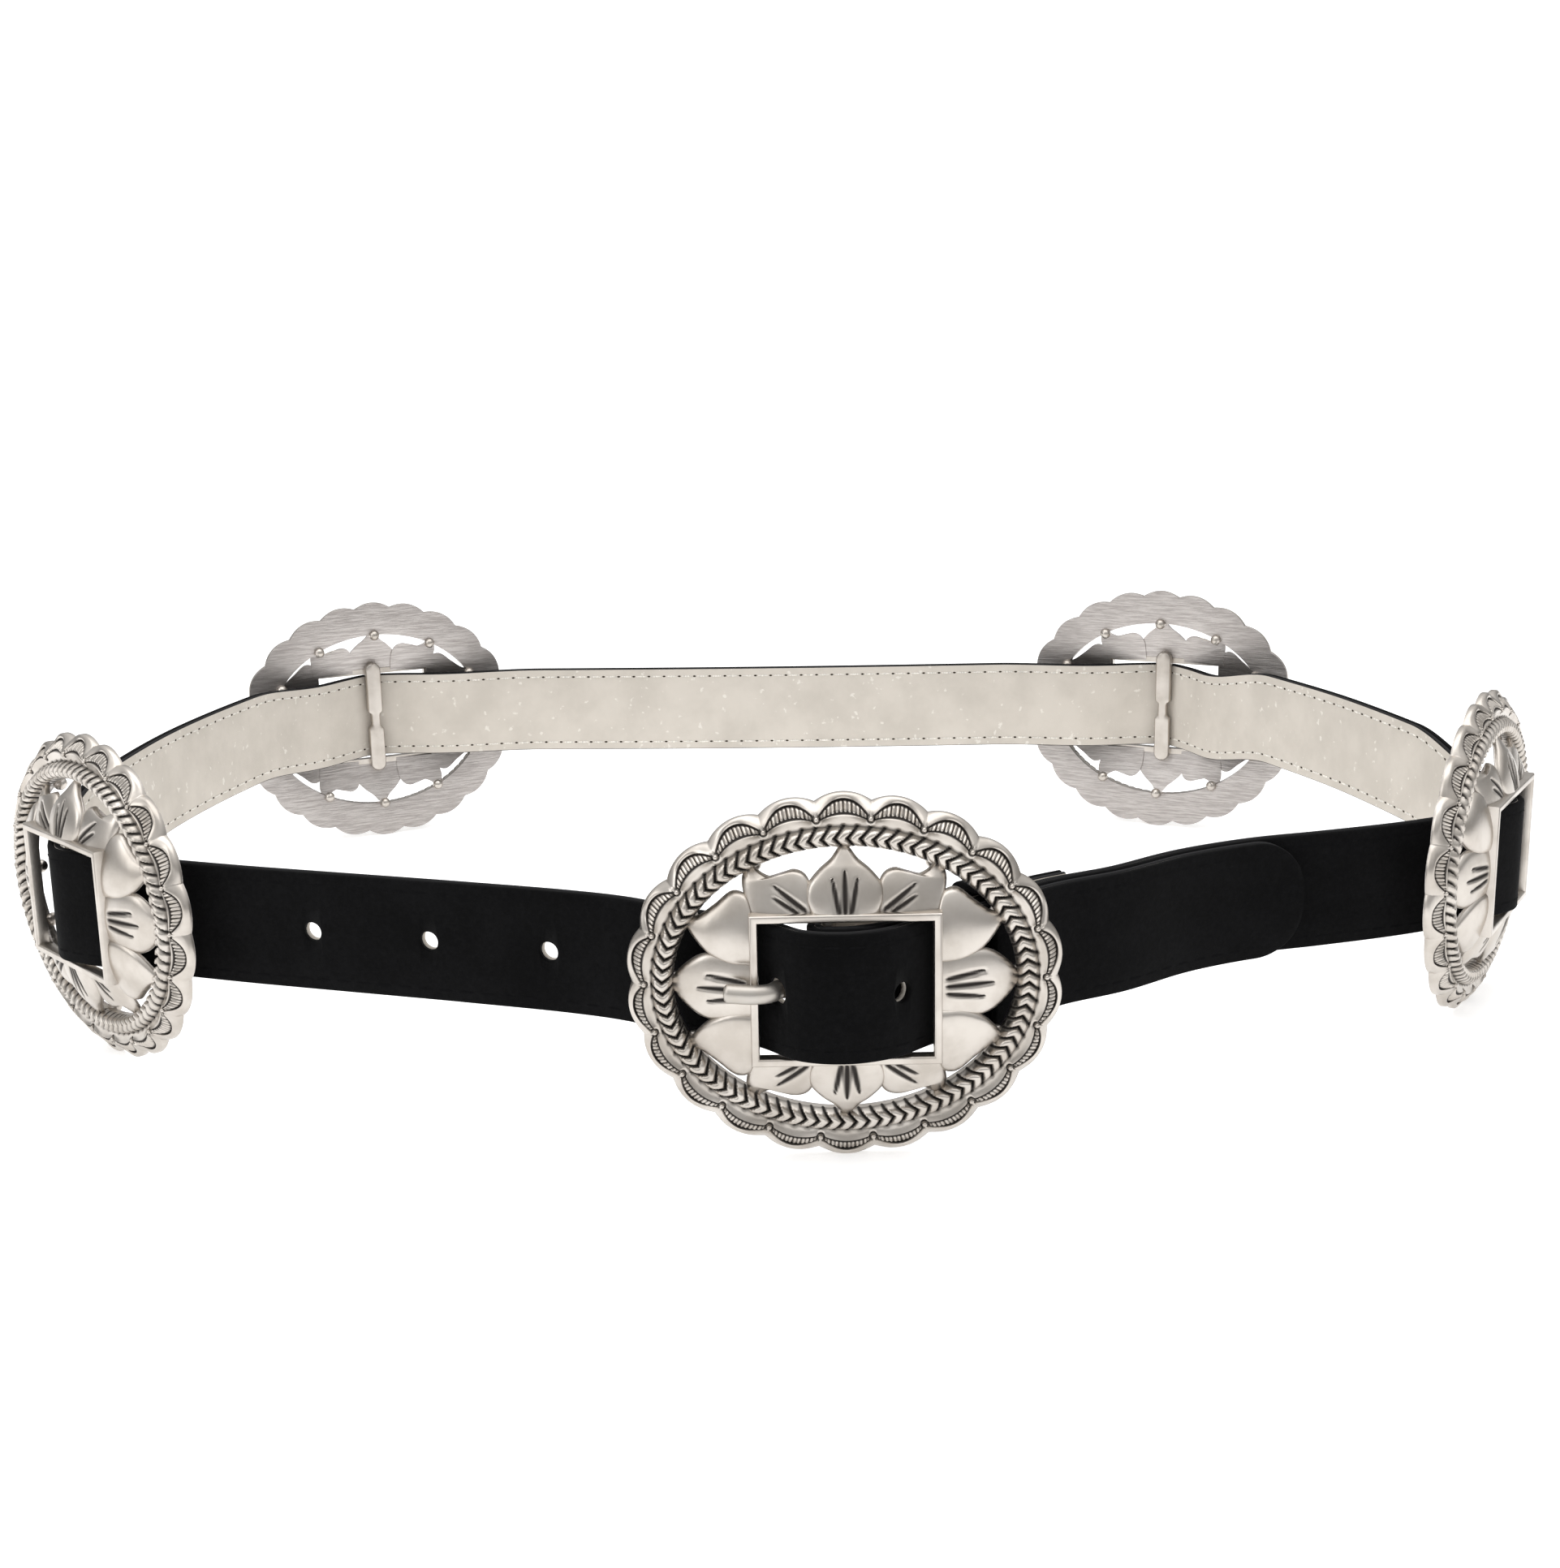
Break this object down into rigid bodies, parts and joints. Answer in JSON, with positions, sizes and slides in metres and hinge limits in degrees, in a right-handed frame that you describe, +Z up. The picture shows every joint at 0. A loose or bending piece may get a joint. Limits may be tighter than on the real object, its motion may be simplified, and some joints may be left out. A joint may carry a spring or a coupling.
{
  "type": "concho belt",
  "caption": "Narrow suede belt fastened in a loop, threaded through pierced oval cast conchos with scalloped rims and petals, closed by an oval tongue buckle.",
  "frame": {"origin": "on the floor, under the middle of the whole outline of the closed belt", "axes": "+Z up from the floor, the buckle faces -Y, +X to the right of someone who looks at the buckle"},
  "size_m": [0.3638, 0.2806, 0.073],
  "materials": {
    "suede": "brushed black suede",
    "lining_leather": "matt pale grey-beige split leather",
    "antique_silver": "cast antique silver, dark in the recesses",
    "polished_silver": "satin silver"
  },
  "bodies": {
    "root": {"strap": "suede", "lining": "lining_leather", "keeper": "suede", "buckle": "antique_silver", "tongue": "polished_silver", "concho_right": "antique_silver", "concho_back_right": "antique_silver", "concho_back_left": "antique_silver", "concho_left": "antique_silver"}
  },
  "joints": []
}
